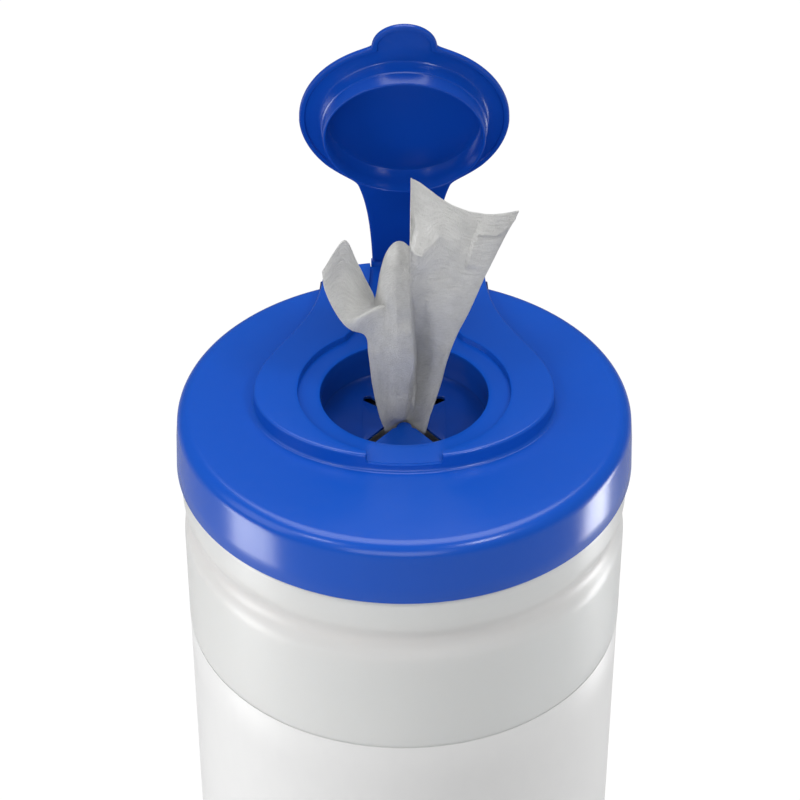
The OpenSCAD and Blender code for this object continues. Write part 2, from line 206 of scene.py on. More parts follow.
# Turns all the way round, closer together where an outline has a corner.
def turnsWith(close, step=1.25, closeStep=0.2):
    half = {round(d, 3) for d in np.arange(0, 180.01, step)}
    for low, high in close:
        half |= {round(d, 3) for d in np.arange(low, high, closeStep)}
    half = sorted(half)
    return [math.radians(-d) for d in half[::-1] if 0 < d] + [math.radians(d) for d in half if d < 180]


# Distance to an outline at each turn, from points of its right half taken front to rear.
def rayTable(points):
    turn = np.array([math.atan2(x, -y) for x, y in points])
    far = np.array([math.hypot(x, y) for x, y in points])
    order = np.argsort(turn, kind="stable")
    return lambda a: float(np.interp(a, turn[order], far[order]))


# Angles of a quarter turn, for a rounded edge.
def quarter(steps):
    return [math.pi / 2 * k / steps for k in range(steps + 1)]


# The lid: sizes in millimetres, mostly the part's own. The skirt's draft is added here.
lid = {
    "outside": 66.8, "draft": 0.75, "inside": 65.0, "bottom": 240.6, "top": 259.8, "edge": 4.4,
    "plateau": 265.0, "half": 43.6, "front": 32.6, "rear": 65.6, "foot": 1.1, "lip": 0.9, "wall": 1.8,
    "rearHalf": 24.4, "flare": 19.2, "flareReach": 31.3,
    "seat": 263.2, "seatRound": 30.85, "notch": 10.6, "tabDip": 1.1, "gap": 0.5, "channelFlare": 2.2,
    "well": 24.35, "floor": 253.0, "under": 251.8, "hole": 12.0, "holeCorner": 1.3, "room": 62.4,
}
strap = {"half": 9.4, "flare": 3.1, "from": 34, "fade": 14}


# Half the plateau's width at distance y behind the middle, its edge set in by d.
def plateauSide(y, d):
    if y <= 0:
        return (lid["half"] - d) * math.sqrt(max(0, 1 - (y / (lid["front"] - d)) ** 2))
    return lid["rearHalf"] - d + lid["flare"] * math.exp(-((y / lid["flareReach"]) ** 2.15))


def plateauOutline(d):
    rear = lid["rear"] - d
    front = lid["front"] - d
    turns = np.linspace(0, math.pi / 2, 120)
    side = [(plateauSide(-front * math.cos(a), d), -front * math.cos(a)) for a in turns]
    side += [(plateauSide(y, d), y) for y in np.linspace(0.2, 64, 240)]
    side = [p for p in side if math.hypot(*p) < rear]
    corner = math.atan2(side[-1][0], -side[-1][1])
    side += [(rear * math.sin(a), -rear * math.cos(a)) for a in np.linspace(corner + 0.002, math.pi, 60)]
    return rayTable(side)


def strapSide(y):
    return strap["half"] + strap["flare"] * math.exp(-(max(y, 20) - strap["from"]) / strap["fade"])


def channelSide(y):
    return strapSide(y) + lid["gap"] + lid["channelFlare"] * math.exp(-(((y - 22) / 9) ** 2))


channelRay = rayTable([(channelSide(y), y) for y in np.linspace(22, 90, 300)])


# The seat's edge: a round, with the tab's notch in front and the strap's channel behind.
def seatRay(a):
    if a <= math.radians(90):
        return max(lid["seatRound"], lid["notch"] / max(math.sin(a), 0.02))
    if a >= math.pi - 0.1:
        return 80.0  # beyond the rear edge, where the channel is open
    channel = channelRay(a) if a > math.radians(130) else 0
    return max(lid["seatRound"], channel)


def crownAt(r):
    inner = lid["outside"] - lid["draft"] - lid["edge"]
    if r <= inner:
        return lid["top"]
    return lid["top"] - lid["edge"] + math.sqrt(max(0, lid["edge"] ** 2 - (r - inner) ** 2))


# The seat's height: it dips towards the front under the tab.
def seatAt(a, r):
    if a > math.pi / 2:
        return lid["seat"]
    out = min(1, max(0, (r * math.cos(a) - lid["well"]) / (lid["front"] - lid["well"])))
    beside = min(1, max(0, (lid["notch"] + 0.3 - r * math.sin(a)) / 0.6))
    return lid["seat"] - lid["tabDip"] * out * beside * beside * (3 - 2 * beside)


footRays = [plateauOutline(-lid["foot"] * (1 - math.sin(a))) for a in quarter(5)]
lipRays = [plateauOutline(lid["lip"] * (1 - math.cos(a))) for a in quarter(5)]
innerRay = plateauOutline(lid["wall"])


# The square hole that the petals close, its corners rounded.
def squareRay(a):
    x, y = abs(math.sin(a)), abs(math.cos(a))
    big, small = max(x, y), min(x, y)
    side, corner = lid["hole"], lid["holeCorner"]
    if small / big * side <= side - corner:
        return side / big
    c = side - corner
    b = (x + y) * c
    return b + math.sqrt(max(0, b * b - 2 * c * c + corner * corner))


# The lid's section at one turn, from the skirt's foot over the top and back inside.
def lidProfile(a):
    foot = footRays[0](a)
    reach = seatRay(a)
    top = lipRays[-1](a)
    isOpen = reach >= top
    low, crown, seat = lid["bottom"], lid["plateau"], lid["seat"]
    inner = lid["outside"] - lid["draft"] - lid["edge"]
    line = [(66.25, low), (66.65, 240.78), (lid["outside"], 241.2), (66.6, 246.0), (66.4, 251.0)]
    shoulder = lid["top"] - lid["edge"]
    line += [(inner + lid["edge"] * math.cos(t), shoulder + lid["edge"] * math.sin(t)) for t in quarter(9)]
    start = max(inner, foot)
    line += [(start + (foot - start) * s, lid["top"]) for s in (0.25, 0.5, 0.75)]
    # Nothing of the crown lies further in than the plateau's foot.
    line = [(max(r, foot), min(z, crownAt(max(r, foot))) if r < foot else z) for r, z in line]
    base = crownAt(foot)
    line += [(ray(a), base + lid["foot"] * (1 - math.cos(t))) for ray, t in zip(footRays, quarter(5))]
    wall = [(ray(a), crown - lid["lip"] * (1 - math.sin(t))) for ray, t in zip(lipRays, quarter(5))]
    edge = [(reach + 1.2, crown), (reach + 0.3, crown), (reach + 0.1, 264.92), (reach, 264.7)]
    edge += [(reach, 263.5), (reach - 0.1, 263.25), (reach - 0.35, seat)]
    edge = [(min(r, top), z) for r, z in edge]
    if isOpen:  # the notch or the channel cuts the plateau's wall down to the seat
        lip = seatAt(a, lipRays[0](a))
        wall = [(r, min(z, lip)) for r, z in wall]
        r, z = wall[-1]
        wall[-1] = (r, min(z, seatAt(a, r)))
    last = edge[-1][0]
    edge = [(r, min(z, seatAt(a, r)) if isOpen or z < 263.4 else z) for r, z in edge]
    line += wall + edge
    for s in (0.2, 0.4, 0.6, 0.8, 1.0):
        r = last + (24.7 - last) * s
        line.append((r, seatAt(a, r)))
    hole = squareRay(a)
    well, floor, under = lid["well"], lid["floor"], lid["under"]
    line += [(24.45, 263.1), (well, 262.85), (well, 258.0), (24.33, 253.7), (24.1, 253.2), (23.6, floor)]
    line += [(21.0, floor), (hole + 0.2, floor), (hole, 252.8), (hole, 252.0), (hole + 0.2, under)]
    line += [(25.55, under), (25.75, 252.0), (25.75, 261.6)]
    room = min(innerRay(a), lid["room"])
    inside = lid["inside"]
    line += [(room, 261.6), (room, 258.2), (62.6, 258.2), (64.3, 257.3), (inside, 255.2), (inside, 247.4)]
    line += [(64.6, 246.6), (inside, 245.8), (inside, 241.4), (65.4, 240.7), (66.25, low)]
    return line


# Inside the well the lid's plastic is painted darker, a painted shade, by its place on the lid (metres).
wellShade = {"round": 0.0247, "edge": 0.0005, "top": 0.2632, "fade": 0.0012, "colour": (0.001, 0.008, 0.09)}


# Glossy moulded plastic: slight clouding, fine orange peel, light rub marks.
def moulded(name, colour, deep, rough, sunken=0.0):
    finish = Finish(name)
    place = finish.place()
    cloud = finish.grain(place, 38.0, 3.0)
    fine = finish.grain(place, 900.0, 2.0)
    peel = finish.grain(place, 160.0, 1.0)
    streaks = finish.grain(finish.stretch(place, (60.0, 60.0, 9.0)), 6.0, 4.0)
    rub = finish.ramp(streaks, [(0.45, 0.0), (0.75, 1.0)])
    paint = finish.between(cloud, colour, deep)
    # Painted shade: darker inside the well, by place.
    if sunken:
        x, y, z = [finish.axis(place, letter) for letter in "xyz"]
        radius = (x * x + y * y) ** 0.5
        inward = (wellShade["round"] - radius) / wellShade["edge"]
        downward = (wellShade["top"] - z) / wellShade["fade"]
        both = finish.node("ShaderNodeMath", {"operation": "SMOOTH_MIN"}, {0: inward, 1: downward, 2: 0.1})
        held = {"operation": "MULTIPLY", "use_clamp": True}
        within = finish.node("ShaderNodeMath", held, {0: both, 1: 1.0})
        paint = finish.between(within * sunken, paint, wellShade["colour"])
    finish.shine(
        Base_Color=paint,
        Roughness=rough + cloud * 0.04 + rub * 0.03,
        Normal=finish.bump(peel * 0.8 + fine * 0.2, 0.012, 0.0004),
        IOR=1.49,
        Subsurface_Weight=0.04,
        Subsurface_Radius=(0.1, 0.3, 1.0),
        Subsurface_Scale=0.0015,
    )
    return finish


blue, deepBlue = (0.0042, 0.083, 0.51), (0.0036, 0.075, 0.475)
bluePlastic = moulded("bluePlastic", blue, deepBlue, 0.21)
# The lid's copy of the plastic carries the painted shade inside the well.
lidPlastic = moulded("lidPlastic", blue, deepBlue, 0.21, 0.6)
# The cap is the same plastic as the lid, its colour painted darker as shade.
capShadedPlastic = moulded("capShadedPlastic", (0.0028, 0.06, 0.41), (0.0024, 0.053, 0.375), 0.2)

# White bottle plastic: painted light, a little warmer to one side, and a painted reddish shade down in the
# groove.
paintedGrooveShade = {"at": 0.224, "reach": 0.006, "share": 0.35, "colour": (0.69, 0.64, 0.63)}
bottlePlastic = Finish("bottlePlastic")
here = bottlePlastic.place()
height = bottlePlastic.axis(here, "z")
side = bottlePlastic.axis(here, "x")
haze = bottlePlastic.grain(bottlePlastic.stretch(here, (1.0, 1.0, 0.35)), 30.0, 3.0)
# Painted light: the white a little warmer to one side, by x.
paintedSideLight = bottlePlastic.between(side * 6.0 + 0.5, (0.70, 0.70, 0.685), (0.70, 0.715, 0.71))
# Painted shade: darker and reddish down in the groove.
off = (height - paintedGrooveShade["at"]) / paintedGrooveShade["reach"]
groove = bottlePlastic.node("ShaderNodeMath", {"operation": "POWER"}, {0: 2.718, 1: off * off * -1.0})
grooveShaded = bottlePlastic.between(groove * paintedGrooveShade["share"], paintedSideLight, paintedGrooveShade["colour"])
bottlePlastic.shine(
    Base_Color=bottlePlastic.between(haze * 0.3, grooveShaded, (0.755, 0.755, 0.745)),
    Roughness=0.3 + haze * 0.12,
    Normal=bottlePlastic.bump(bottlePlastic.grain(here, 420.0, 2.0), 0.06, 0.0004),
    Subsurface_Weight=0.25,
    Subsurface_Radius=(1.0, 0.9, 0.8),
    Subsurface_Scale=0.004,
    IOR=1.5,
)

labelFilm = Finish("labelFilm")
here = labelFilm.place()
fibre = labelFilm.grain(labelFilm.stretch(here, (1.0, 1.0, 0.5)), 260.0, 4.0)
labelFilm.shine(
    Base_Color=labelFilm.between(fibre, (0.745, 0.745, 0.745), (0.775, 0.775, 0.77)),
    Roughness=0.38 + fibre * 0.1,
    Normal=labelFilm.bump(fibre, 0.05, 0.0003),
)


# Pressed fibres: thin creped lines across, a mesh of darker thin spots, soft fuzz.
def nonwoven(name, lightColour, darkColour, size, onSheet):
    finish = Finish(name)
    place = finish.sheetPlace() if onSheet else finish.place()
    crepe = finish.grain(finish.stretch(place, (size * 0.3, size * 1.0, size)), 5.0, 6.0, 0.7)
    fibre = finish.grain(finish.stretch(place, (size * 2.4, size * 0.5, size)), 9.0, 5.0, 0.7)
    blot = finish.grain(place, size * 0.6, 3.0)
    weave = crepe * 0.55 + fibre * 0.45
    full = finish.ramp(weave * 0.7 + blot * 0.3, [(0.38, 0.0), (0.58, 1.0)])
    finish.shine(
        Base_Color=finish.between(full, darkColour, lightColour),
        Roughness=0.86 + fibre * 0.1,
        Normal=finish.bump(weave, 1.0, 0.0018),
        Specular_IOR_Level=0.15,
        Sheen_Weight=0.15,
        Sheen_Roughness=0.5,
    )
    return finish


wipeCloth = nonwoven("wipeCloth", (0.93, 0.93, 0.915), (0.76, 0.76, 0.745), 22.0, True)
# The coil and the strand are the same cloth as the pulled wipe, painted darker as shade.
shadedRollCloth = nonwoven("shadedRollCloth", (0.62, 0.62, 0.61), (0.52, 0.52, 0.515), 240.0, False)

# Degrees from the front at which the notch and the strap's channel have corners.
lidTurns = turnsWith([(17.0, 22.5), (147.0, 160.5), (169.5, 172.5)])
lidPiece = layRows("lidMoulding", around(lidProfile, lidTurns), lidPlastic, "lid")
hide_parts("lid_shell")
print("lid made", len(lidPiece.data.polygons))

# The flip cap, first shut, then turned open about its hinge. Its tab ends 1 mm short of the part's.
cap = {
    "round": 30.35, "tab": 9.2, "tabFrom": 29.45, "tip": 38.1, "strapEnd": 65.2, "top": 265.0,
    "under": 263.35, "recess": 263.65, "sunk": 0.3, "open": 73.1, "hinge": (66.0, 265.0),
}


# Half the cap's width: disc and strap behind its middle, disc and tab in front.
def capRear(y, d):
    disc = math.sqrt(max(0, (cap["round"] - d) ** 2 - y * y))
    return (disc**8 + (strapSide(y) - d) ** 8) ** 0.125


def capFront(u, d):
    disc = math.sqrt(max(0, (cap["round"] - d) ** 2 - u * u))
    bow = math.sqrt(max(0, 1 - (max(0, u - cap["tabFrom"]) / (cap["tip"] - cap["tabFrom"] - d)) ** 2))
    tab = bow * (cap["tab"] - d)
    return (disc**6 + tab**6) ** (1 / 6)


def capOutline(d):
    tip, end = cap["tip"] - d, cap["strapEnd"] - d
    forward = [*(tip - (tip - 30) * np.linspace(0, 1, 60) ** 2), *np.linspace(29.9, 0, 120)]
    points = [(capFront(u, d), -u) for u in forward]
    points += [(capRear(y, d), y) for y in np.linspace(0.2, end, 240)]
    width = points[-1][0]
    points += [(width * (1 - s), end) for s in np.linspace(0.02, 1, 20)]
    return rayTable(points)


capRays = {d: capOutline(d) for d in (0.0, 0.1, 0.15, 0.35, 0.5, 0.7, 1.5, 1.8)}


# The cap's section at one turn: over the top, round the rim, the plug ring and back inside.
def capProfile(a):
    rim = {d: ray(a) for d, ray in capRays.items()}
    top, under, recess = cap["top"], cap["under"], cap["recess"]
    line = [(0, top), (10, top), (20, top), (28, top), (rim[0.7], top), (rim[0.35], top - 0.1)]
    line += [(rim[0.1], top - 0.35), (rim[0.0], top - 0.7)]
    sunk = under + cap["sunk"] * min(1, max(0, (math.radians(140) - a) / math.radians(14)))
    line += [(rim[0.0], under + 0.5), (rim[0.15], under + 0.15), (rim[0.5], under), (rim[1.5], under)]
    line += [(rim[1.8], sunk), (24.9, sunk), (24.35, under + 0.12), (24.05, under - 0.35)]
    line += [(24.0, 260.2), (23.95, 259.75), (23.62, 259.5), (23.55, 259.1), (23.46, 256.2), (23.3, 255.75)]
    line += [(23.0, 255.6), (22.75, 255.62), (22.6, 255.9), (22.7, 259.4), (22.5, 262.9), (22.2, 263.5)]
    line += [(21.6, recess), (20.6, recess), (11, recess), (0, recess)]
    return line


# Rows turned about the cap's hinge.
def swung(rows, degrees):
    y0, z0 = cap["hinge"]
    c, s = math.cos(math.radians(degrees)), math.sin(math.radians(degrees))
    turnedRows = []
    for row in rows:
        away = [(x, y - y0, z - z0) for x, y, z in row]
        turnedRows.append([(x, y0 + y * c - z * s, z0 + y * s + z * c) for x, y, z in away])
    return turnedRows


# Degrees from the front at which the tab and the strap have corners.
capTurns = turnsWith([(0.4, 21.0), (146.0, 156.0), (170.5, 173.0)])
capPiece = layRows("flipCap", swung(around(capProfile, capTurns), -cap["open"]), capShadedPlastic, "cap")
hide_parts("flip_cap")
print("cap made", len(capPiece.data.polygons))

# The canister and its label: radii and heights in millimetres.
bottle = {
    "round": 65.6, "panel": 65.25, "neck": 63.0, "bead": 63.9, "wall": 1.3, "inner": 61.7, "mouth": 258.0,
    "groove": 1.9, "grooveAt": 224, "grooveReach": 5.2,
}


def bottleAt(z):
    off = abs(z - bottle["grooveAt"]) / bottle["grooveReach"]
    return bottle["round"] - bottle["groove"] * math.exp(-(off**2.6) * 1.6)


wide, panel, neck, inner = [bottle[name] for name in ("round", "panel", "neck", "inner")]
outsideLine = [(0, 5.0), (30, 5.0), (50, 4.9), (56, 4.2), (57.6, 2.6), (58.4, 0.8), (59.2, 0.1)]
outsideLine += [(60.2, 0.0), (61.4, 0.15), (63.2, 1.1), (64.6, 2.7), (65.4, 4.4), (wide, 6.0), (wide, 21.2)]
outsideLine += [(65.52, 21.6), (65.3, 21.85), (panel, 22.1)]
outsideLine += [(panel, z) for z in np.linspace(30, 180, 8)]
outsideLine += [(panel, 184.5), (65.3, 184.8), (65.5, 185.1), (wide, 185.6)]
outsideLine += [(bottleAt(z), z) for z in np.linspace(190, 238.6, 60)]
outsideLine += [(65.5, 239.4), (65.1, 239.85), (64.5, 240.0), (63.1, 240.0), (neck, 240.2), (neck, 244.6)]
outsideLine += [(63.6, 245.4), (bottle["bead"], 246.2), (63.6, 247.0), (neck, 247.8), (neck, 257.4)]
outsideLine += [(62.85, 257.85), (62.4, bottle["mouth"]), (61.9, 257.85), (inner, 257.4)]
insideLine = [(inner, 240.0), (61.9, 239.0), (63.6, 238.2), (64.3, 236.5)]
insideLine += [(bottleAt(z) - bottle["wall"], z) for z in np.linspace(234, 190, 30)]
insideLine += [(63.95, 184.0), (63.95, 22.0), (64.3, 20.0), (64.2, 6.0), (62.6, 2.6), (60.5, 1.4)]
insideLine += [(58.9, 2.2), (57.4, 5.2), (52, 6.3), (30, 6.3), (0, 6.3)]
bottlePiece = layRows("canisterBottle", turned(outsideLine + insideLine), bottlePlastic, "canister", 50)
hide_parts("canister")
back, face = 65.27, 65.5
labelLine = [(back, 22.3), (65.42, 22.25), (face, 22.4), (face, 60), (face, 120), (face, 170)]
labelLine += [(face, 184.2), (65.42, 184.35), (back, 184.3), (back, 120), (back, 22.3)]
labelPiece = layRows("bareLabel", turned(labelLine), labelFilm, "canister", 50)
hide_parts("label")
print("canister made")

# The coiled stack of wipes: its top face shows the spiral of the layers.
coil = {"round": 57.0, "core": 16.0, "low": 6.9, "high": 245.9, "layer": 1.6, "steps": 144}


# One ring of the coil, with the spiral on its top face or a slight swell of its side.
def coilRing(r, z, onTop):
    steps = coil["steps"]
    row = []
    for i in range(steps + 1):
        share = (i % steps) / steps
        a = 2 * math.pi * (i % steps) / steps
        c, s = math.cos(a), math.sin(a)
        lift = swell = 0
        if onTop:
            ripple = abs(((r / coil["layer"] + share) % 1) - 0.5) * 1.3 - 0.55
            lift = ripple + 0.5 * noise.noise((r * 0.12 * c, r * 0.12 * s, 3))
        elif r > 50:
            swell = 0.5 * noise.noise((c * 2.2, s * 2.2, z * 0.03)) - 0.5
        row.append(((r + swell) * c, (r + swell) * s, z + min(0, lift)))
    return row


def rollRows():
    outer, core, low, high = [coil[name] for name in ("round", "core", "low", "high")]
    rows = [coilRing(outer, z, False) for z in np.linspace(low, high - 0.6, 24)]
    rows += [coilRing(r, high, True) for r in np.arange(outer - 0.4, core + 0.4, -0.4)]
    rows += [coilRing(core, z, False) for z in np.linspace(high - 0.6, low, 12)]
    rows.append(rows[0])
    return rows


rollPiece = layRows("wipeCoil", rollRows(), shadedRollCloth, "canister", 60)
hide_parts("wipe_roll")


# The gathered wipe from the coil's middle up to the petals: a bunch with two flat wings.
strand = {
    "round": 2.1, "wings": ((5.4, -135), (6.4, -45)), "wingWidth": 0.13, "low": 18.9, "high": 253.2,
    "steps": 144, "levels": 56,
}


def strandRows():
    rows = []
    low, high, steps, levels = [strand[name] for name in ("low", "high", "steps", "levels")]
    for k in range(levels + 1):
        share = k / levels
        z = low + (high - low) * share
        row = []
        for i in range(steps + 1):
            a = 2 * math.pi * (i % steps) / steps
            r = strand["round"] + 0.3 * math.cos(3 * a + z * 0.02)
            for reach, at in strand["wings"]:
                off = (a - math.radians(at) + math.pi) % (2 * math.pi) - math.pi
                off += 0.09 * math.sin(z * 0.07 + at) * min(1, (high - z) / 30)
                wave = 1 + 0.08 * math.sin(z * 0.11 + at)
                r += reach * wave * math.exp(-((off / strand["wingWidth"]) ** 2)) / 1.08
            row.append((r * math.cos(a), r * math.sin(a), z))
        rows.append(row)
    return [[(0, 0, low)] * (steps + 1)] + rows + [[(0, 0, high)] * (steps + 1)]


strandPiece = layRows("gatheredStrand", strandRows(), shadedRollCloth, "wipe", 60)
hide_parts("wipe_strand")
print("coil and strand made")

# The pulled wipe. Each column runs from the orifice up to the free edge: where it lies in the frame of
# the picture, four units a pixel from its corner, and how far forward it stands.
sheetFoot = 253.4
footLine = [
    (-5.4, -5.7), (-5.3, -5.6), (-5.1, -5.4), (-4.8, -5.1), (-4.4, -4.7), (-3.9, -4.2), (-3.3, -3.6),
    (-2.4, -2.7), (-1.4, -1.7), (-0.5, -0.8), (-0.2, -0.5), (0.2, -0.4), (0.5, -0.6), (1.6, -1.7),
    (2.8, -2.9), (4.0, -4.2), (5.0, -5.2), (5.7, -6.0), (6.1, -6.4),
]
sheetColumns = [
    [(318, 1020, -7.5), (292, 900, -9.5), (276, 770, -11), (262, 702, -12),
     (205, 678, -13.5), (150, 620, -14), (100, 520, -13), (88, 445, -11.5)],
    [(322, 1020, -7.6), (297, 900, -9.8), (284, 775, -11.4), (275, 697, -12.8),
     (222, 652, -14.8), (190, 610, -12.5), (160, 470, -9.5), (178, 322, -9)],
    [(328, 1020, -7.8), (306, 900, -10.2), (297, 780, -12), (292, 695, -13.8),
     (255, 622, -16), (232, 618, -11.5), (225, 520, -7.5), (232, 420, -7)],
    [(336, 1020, -8), (318, 900, -10.6), (312, 785, -12.8), (312, 690, -14.6),
     (300, 600, -16), (285, 600, -11), (275, 560, -7), (285, 520, -6)],
    [(344, 1020, -8.2), (330, 900, -11), (326, 790, -13.4), (328, 690, -15.2),
     (335, 590, -15.5), (318, 590, -11), (308, 572, -8), (303, 550, -7)],
    [(352, 1020, -8.4), (342, 900, -11.4), (340, 790, -14), (342, 700, -15.8),
     (345, 600, -16), (328, 540, -13), (318, 490, -11), (322, 450, -10)],
    [(362, 1020, -8.8), (356, 900, -12), (358, 790, -14.8), (362, 700, -16.5),
     (360, 600, -17), (350, 520, -16.5), (342, 440, -14.5), (345, 375, -12)],
    [(376, 1020, -9), (376, 900, -12.6), (382, 790, -15.2), (388, 700, -17),
     (386, 600, -17.6), (380, 510, -17), (375, 420, -15.5), (378, 332, -12)],
    [(392, 1020, -8.6), (398, 900, -12.2), (410, 790, -14.6), (416, 700, -16),
     (416, 600, -16.5), (412, 510, -16), (410, 420, -14.5), (410, 328, -11.5)],
    [(415, 1020, -6.5), (432, 900, -10), (450, 790, -12.8), (444, 700, -14),
     (438, 600, -15.6), (437, 510, -15.8), (438, 430, -15), (438, 346, -12.5)],
    [(418, 1020, -5.8), (434, 900, -9.4), (453, 790, -12.0), (446, 700, -13.8),
     (440, 600, -15.4), (439, 510, -15.6), (440, 430, -15), (441, 344, -12.8)],
    [(430, 1020, -2.2), (452, 900, -2.0), (466, 790, -3.5), (458, 700, -8),
     (452, 600, -12), (448, 500, -14.6), (443, 338, -15.5), (445, 104, -10)],
    [(433, 1020, -2.0), (455, 900, -1.6), (469, 790, -3.0), (461, 700, -7.4),
     (455, 600, -11.6), (451, 500, -14.6), (447, 340, -15.4), (450, 78, -10)],
    [(452, 1020, -1.8), (478, 900, -2.4), (496, 790, -4), (494, 700, -7),
     (494, 600, -11), (494, 480, -13), (492, 355, -15.5), (505, 110, -9)],
    [(475, 1020, -3.5), (505, 900, -6), (530, 790, -8.5), (542, 700, -11),
     (550, 600, -12.5), (556, 480, -12), (560, 298, -11.5), (580, 165, -6)],
    [(492, 1020, -5), (530, 900, -8), (560, 800, -10), (590, 700, -11),
     (612, 600, -11), (630, 480, -10), (650, 340, -8), (665, 204, -5)],
    [(505, 1020, -6), (548, 900, -9), (578, 800, -11), (612, 705, -11),
     (650, 600, -10), (680, 490, -8.5), (715, 350, -6.5), (745, 214, -4)],
    [(514, 1030, -6.6), (556, 905, -9.5), (586, 800, -11), (625, 700, -10),
     (675, 600, -8.5), (725, 480, -6.5), (785, 350, -4), (825, 208, -4)],
    [(521, 1020, -6.8), (560, 900, -9), (587, 800, -10), (628, 690, -9),
     (688, 575, -7), (738, 465, -5), (800, 340, -3), (875, 205, -3)],
]


# Pressed creases in the same picture units: the cloth stands forward on one side of each line.
creases = [
    {"line": [(436, 350), (490, 368), (560, 296)], "side": 1, "push": 2.8, "reach": 70},
    {"line": [(708, 278), (690, 330), (660, 430)], "side": 1, "push": 1.6, "reach": 45},
    {"line": [(705, 285), (745, 296), (800, 291), (870, 225)], "side": 1, "push": 2.0, "reach": 35},
    {
        "line": [(440, 640), (450, 720), (456, 800), (462, 900), (456, 1010)],
        "side": -1, "push": 2.0, "reach": 45,
    },
    {"line": [(505, 520), (520, 640), (500, 800)], "side": 1, "push": 0.5, "reach": 40},
    {"line": [(640, 300), (610, 420), (560, 560)], "side": -1, "push": 0.45, "reach": 60},
]


# How far forward the creases push the cloth at picture unit (u, v).
def creasePush(u, v):
    total = 0.0
    for crease in creases:
        best = (1e9, 0, 0)
        line = crease["line"]
        for k, ((ax, ay), (bx, by)) in enumerate(zip(line, line[1:])):
            dx, dy = bx - ax, by - ay
            t = ((u - ax) * dx + (v - ay) * dy) / (dx * dx + dy * dy)
            held = min(1, max(0, t))
            gap = math.hypot(u - ax - held * dx, v - ay - held * dy)
            if gap < best[0]:
                side = (dx * (v - ay) - dy * (u - ax)) * -crease["side"]
                best = (gap, math.copysign(1, side), (k + held) / (len(line) - 1))
        gap, side, along = best
        fade = min(1, along / 0.12, (1 - along) / 0.12) if 0 < along < 1 else 0
        step = min(1, max(0, (gap * side + 6) / 12))
        fall = math.exp(-max(0, gap * side) / crease["reach"])
        total += crease["push"] * step * step * (3 - 2 * step) * fall * max(0, fade)
    return total


# The picture unit at which a point shows.
def toPicture(p):
    down = math.radians(picture["down"])
    d = Vector(p) - Vector(picture["place"])
    far = d.y * math.cos(down) - d.z * math.sin(down)
    up = d.y * math.sin(down) + d.z * math.cos(down)
    middle = picture["middle"]
    px, py = middle + picture["pixels"] * d.x / far, middle - picture["pixels"] * up / far
    left, above = picture["corner"]
    return (px - left) * 4, (py - above) * 4


# The point at forward distance y that shows at picture unit (u, v).
def fromPicture(u, v, y):
    left, above = picture["corner"]
    px, py = left + u / 4, above + v / 4
    down = math.radians(picture["down"])
    f, up = picture["pixels"], picture["middle"] - py
    flat, tall = math.cos(down), math.sin(down)
    ray = Vector((px - picture["middle"], f * flat + up * tall, -f * tall + up * flat))
    start = Vector(picture["place"])
    return start + ray * ((y - start.y) / ray.y)


# Evenly counted points on a Catmull-Rom line through the given ones.
def smoothThrough(points, count):
    p = [Vector(q) for q in points]
    p = [p[0] * 2 - p[1], *p, p[-1] * 2 - p[-2]]
    out = []
    for k in range(count):
        t = (len(p) - 3) * k / (count - 1)
        i = min(int(t), len(p) - 4)
        t -= i
        a, b, c, d = p[i : i + 4]
        bend, twist = 2 * a - 5 * b + 4 * c - d, 3 * b - a - 3 * c + d
        out.append(0.5 * (2 * b + (c - a) * t + bend * t * t + twist * t**3))
    return out


wipe = {"levels": 150, "across": 200, "lean": 5.0, "crumple": 0.5, "thick": 0.4}


def sheetRows():
    tall, wide = wipe["levels"], wipe["across"]
    columns = []
    for (x, y), column in zip(footLine, sheetColumns):
        points = [Vector((x, y, sheetFoot))]
        for k, (u, v, forward) in enumerate(column):
            points.append(fromPicture(u, v, forward + wipe["lean"] * (k + 1) / 8))
        columns.append(smoothThrough(points, tall))
    rows = [smoothThrough([column[k] for column in columns], wide) for k in range(tall)]
    crumpled = []
    for j, row in enumerate(rows):
        share = j / (tall - 1)
        amount = min(1, share * 4) * wipe["crumple"]
        line = []
        for p in row:
            push = noise.noise(p * 0.09) * 1.1 + noise.noise(p * 0.22 + Vector((7, 3, 1))) * 0.5
            fold = creasePush(*toPicture(p))
            moved = p + Vector((0.25 * push, push, 0.15 * push)) * amount + Vector((0, -fold, 0))
            line.append(tuple(moved))
        crumpled.append(line)
    return crumpled


sheetPiece = layRows("pulledWipe", sheetRows(), wipeCloth, "wipe", 80)
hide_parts("wipe_sheet")
deselectAll()
bpy.context.view_layer.objects.active = sheetPiece
sheetPiece.select_set(True)
thick = sheetPiece.modifiers.new("thickness", "SOLIDIFY")
thick.thickness = wipe["thick"] * mm
thick.offset = 0
bpy.ops.object.modifier_apply(modifier="thickness")
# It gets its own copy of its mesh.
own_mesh(sheetPiece)

# Four petals close the orifice, each slanting up from its root in the well's floor.
petal = {
    "root": 12.5, "rootFrom": 11.4, "rootHalf": 9.9, "bend": 11.35, "slot": 1.3, "nose": 5.09, "round": 2.3,
    "rise": 12.0, "middle": 252.45, "halfThick": 0.45, "steps": 26,
}


# Half the petal's width at distance u from the middle, its edge set in by d.
def petalSide(u, d):
    flank = u - (petal["slot"] + d) * math.sqrt(2)
    r = petal["round"] - d
    if u < petal["nose"]:
        return math.sqrt(max(0, r * r - (petal["nose"] - u) ** 2))
    if u >= petal["rootFrom"]:
        return min(flank, petal["rootHalf"])
    touch = petal["nose"] + r * math.sqrt(0.5)
    tip = math.sqrt(max(0, r * r - (u - petal["nose"]) ** 2)) if u < touch else 0
    return max(tip, flank)


